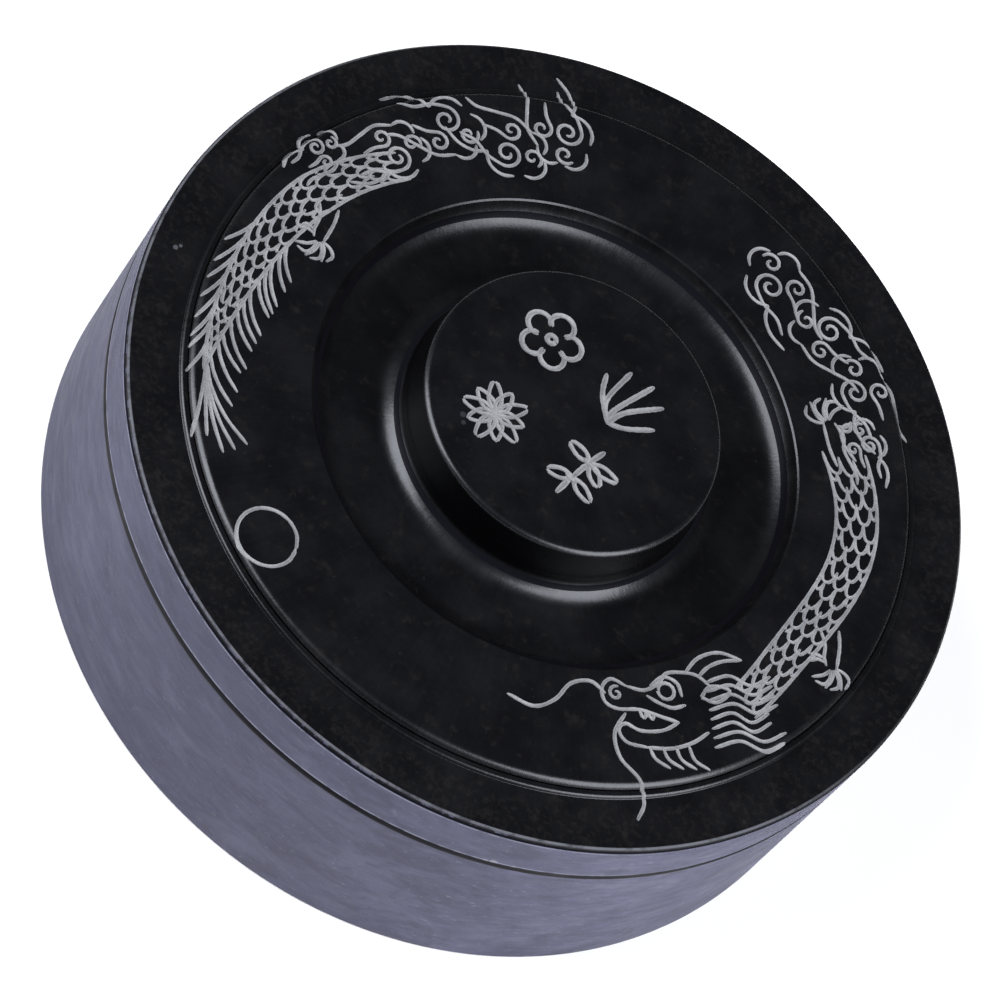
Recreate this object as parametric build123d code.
from build123d import *
from math import radians, tan
import os

# A round lidded inkstone, turned from two blocks of slate: a base with a grinding hall and an ink well,
# and a lid with a knob in a turned moat.
# Lengths are in millimetres. The origin is the centre of the face that the base stands on, +Z is up,
# and the well lies on the +Y side of the hall.

# Driving dimensions: the outside.
OUTER_RADIUS = 65.0
SEAM_HEIGHT = 31.8  # the base's shoulder, where the lid lands
RIM_HEIGHT = 41.5  # the flat outer rim of the lid's top
FOOT_CHAMFER = 0.8
SHOULDER_CHAMFER = 0.5
SKIRT_CHAMFER = 0.5  # round the lid's lower edge

# The lid's upper edge: a bevel over a fine turned line.
BEVEL = 0.45
EDGE_LINE_WIDTH = 0.6
EDGE_LINE_DEPTH = 0.3

# The stepped shoulder from the rim up to the lid's raised field.
STEP_RADIUS = 57.15
STEP_RISE = 0.5
STEP_FILLET = 0.45
LEDGE_RADIUS = 56.0
FIELD_RISE = 1.4  # above the rim
FIELD_FILLET = 1.1
WALL_LEAN = 0.25  # of both small walls of the shoulder

# The moat round the knob.
MOAT_RADIUS = 37.9
MOAT_LIP_CHAMFER = 0.25
MOAT_DEPTH = 2.2  # below the rim
MOAT_WALL_LEAN = 1.3
MOAT_OUTER_FILLET = 5.0
MOAT_INNER_FILLET = 3.8

# The knob.
KNOB_RADIUS = 22.9
KNOB_RISE = 7.5  # above the rim
KNOB_LEAN = 0.8
KNOB_EDGE_FILLET = 0.9

# The joint between the stones: a lip on the base inside a recess under the lid.
LIP_RADIUS = 59.6
LIP_HEIGHT = 2.8
LIP_CHAMFER = 0.5
LIP_PLAY = 0.4
RECESS_DEPTH = 3.3
RECESS_FILLET = 1.0

# The base's hollow.
POCKET_RADIUS = 54.5
POCKET_FILLET = 3.0
HALL_HEIGHT = 25.0
HALL_RADIUS = 48.0
HALL_OFFSET = -16.0
WELL_RADIUS = 51.0
WELL_HEIGHT = 14.0
WELL_SLOPE = 55.0  # degrees, from the hall down to the well's floor
WELL_FLOOR_FILLET = 4.0
HALL_EDGE_FILLET = 5.0
CUT_PAST = 1.0  # how far the well's cutter stands above the hall


def turned(points, fillets):
    """The solid that a closed half-section of (radius, height) points sweeps about Z.

    fillets maps a point of the section to the radius that rounds its corner.
    """
    section = make_face(Polyline(*points, close=True))
    for corner, radius in fillets.items():
        vertex = section.vertices().sort_by_distance(corner)[0]
        section = fillet(vertex, radius)
    return revolve(Plane.XZ * section, Axis.Z)


def well_cutter():
    """The crescent between the well's round outer wall and the mound that carries the hall."""
    depth = HALL_HEIGHT - WELL_HEIGHT
    bowl = Cylinder(WELL_RADIUS, depth + CUT_PAST, align=(Align.CENTER, Align.CENTER, Align.MIN))
    bowl = Pos(0, 0, WELL_HEIGHT) * fillet(bowl.edges().group_by(Axis.Z)[0], WELL_FLOOR_FILLET)
    spread = depth / tan(radians(WELL_SLOPE))
    brow = (HALL_RADIUS, HALL_HEIGHT)
    foot = (HALL_RADIUS + spread, WELL_HEIGHT)
    mound = turned([(0, WELL_HEIGHT), foot, brow, (0, HALL_HEIGHT)], {brow: HALL_EDGE_FILLET})
    return bowl - Pos(0, HALL_OFFSET, 0) * mound


def inkstone_base():
    """The lower stone: a plain turned drum with a locating lip, a grinding hall and an ink well."""
    lip_top = SEAM_HEIGHT + LIP_HEIGHT
    hall_corner = (POCKET_RADIUS, HALL_HEIGHT)
    points = [
        (0, 0),
        (OUTER_RADIUS - FOOT_CHAMFER, 0),
        (OUTER_RADIUS, FOOT_CHAMFER),
        (OUTER_RADIUS, SEAM_HEIGHT - SHOULDER_CHAMFER),
        (OUTER_RADIUS - SHOULDER_CHAMFER, SEAM_HEIGHT),
        (LIP_RADIUS, SEAM_HEIGHT),
        (LIP_RADIUS, lip_top - LIP_CHAMFER),
        (LIP_RADIUS - LIP_CHAMFER, lip_top),
        (POCKET_RADIUS + LIP_CHAMFER, lip_top),
        (POCKET_RADIUS, lip_top - LIP_CHAMFER),
        hall_corner,
        (0, HALL_HEIGHT),
    ]
    return turned(points, {hall_corner: POCKET_FILLET}) - well_cutter()


def inkstone_lid():
    """The upper stone: a turned cover with a stepped shoulder, a moat and a knob to lift it by."""
    recess_radius = LIP_RADIUS + LIP_PLAY
    recess_corner = (recess_radius, SEAM_HEIGHT + RECESS_DEPTH)
    side_top = RIM_HEIGHT - BEVEL
    field = RIM_HEIGHT + FIELD_RISE
    moat_floor = RIM_HEIGHT - MOAT_DEPTH
    moat_wall = MOAT_RADIUS - MOAT_LIP_CHAMFER
    moat_corner = (moat_wall - MOAT_WALL_LEAN, moat_floor)
    foot_corner = (KNOB_RADIUS + KNOB_LEAN, moat_floor)
    knob_corner = (KNOB_RADIUS, RIM_HEIGHT + KNOB_RISE)
    field_edge = (LEDGE_RADIUS - WALL_LEAN, field)
    step_edge = (STEP_RADIUS - WALL_LEAN, RIM_HEIGHT + STEP_RISE)
    points = [
        (0, SEAM_HEIGHT + RECESS_DEPTH),
        recess_corner,
        (recess_radius, SEAM_HEIGHT),
        (OUTER_RADIUS - SKIRT_CHAMFER, SEAM_HEIGHT),
        (OUTER_RADIUS, SEAM_HEIGHT + SKIRT_CHAMFER),
        (OUTER_RADIUS, side_top - EDGE_LINE_WIDTH),
        (OUTER_RADIUS - EDGE_LINE_DEPTH, side_top - EDGE_LINE_WIDTH / 2),
        (OUTER_RADIUS, side_top),
        (OUTER_RADIUS - BEVEL, RIM_HEIGHT),
        (STEP_RADIUS, RIM_HEIGHT),
        step_edge,
        (LEDGE_RADIUS, RIM_HEIGHT + STEP_RISE),
        field_edge,
        (MOAT_RADIUS, field),
        (moat_wall, field - MOAT_LIP_CHAMFER),
        moat_corner,
        foot_corner,
        knob_corner,
        (0, RIM_HEIGHT + KNOB_RISE),
    ]
    fillets = {
        recess_corner: RECESS_FILLET,
        moat_corner: MOAT_OUTER_FILLET,
        foot_corner: MOAT_INNER_FILLET,
        knob_corner: KNOB_EDGE_FILLET,
        field_edge: FIELD_FILLET,
        step_edge: STEP_FILLET,
    }
    return turned(points, fillets)


parts = {"inkstone_base": inkstone_base(), "inkstone_lid": inkstone_lid()}
os.makedirs("parts", exist_ok=True)
for name, part in parts.items():
    export_step(part, f"parts/{name}.step")
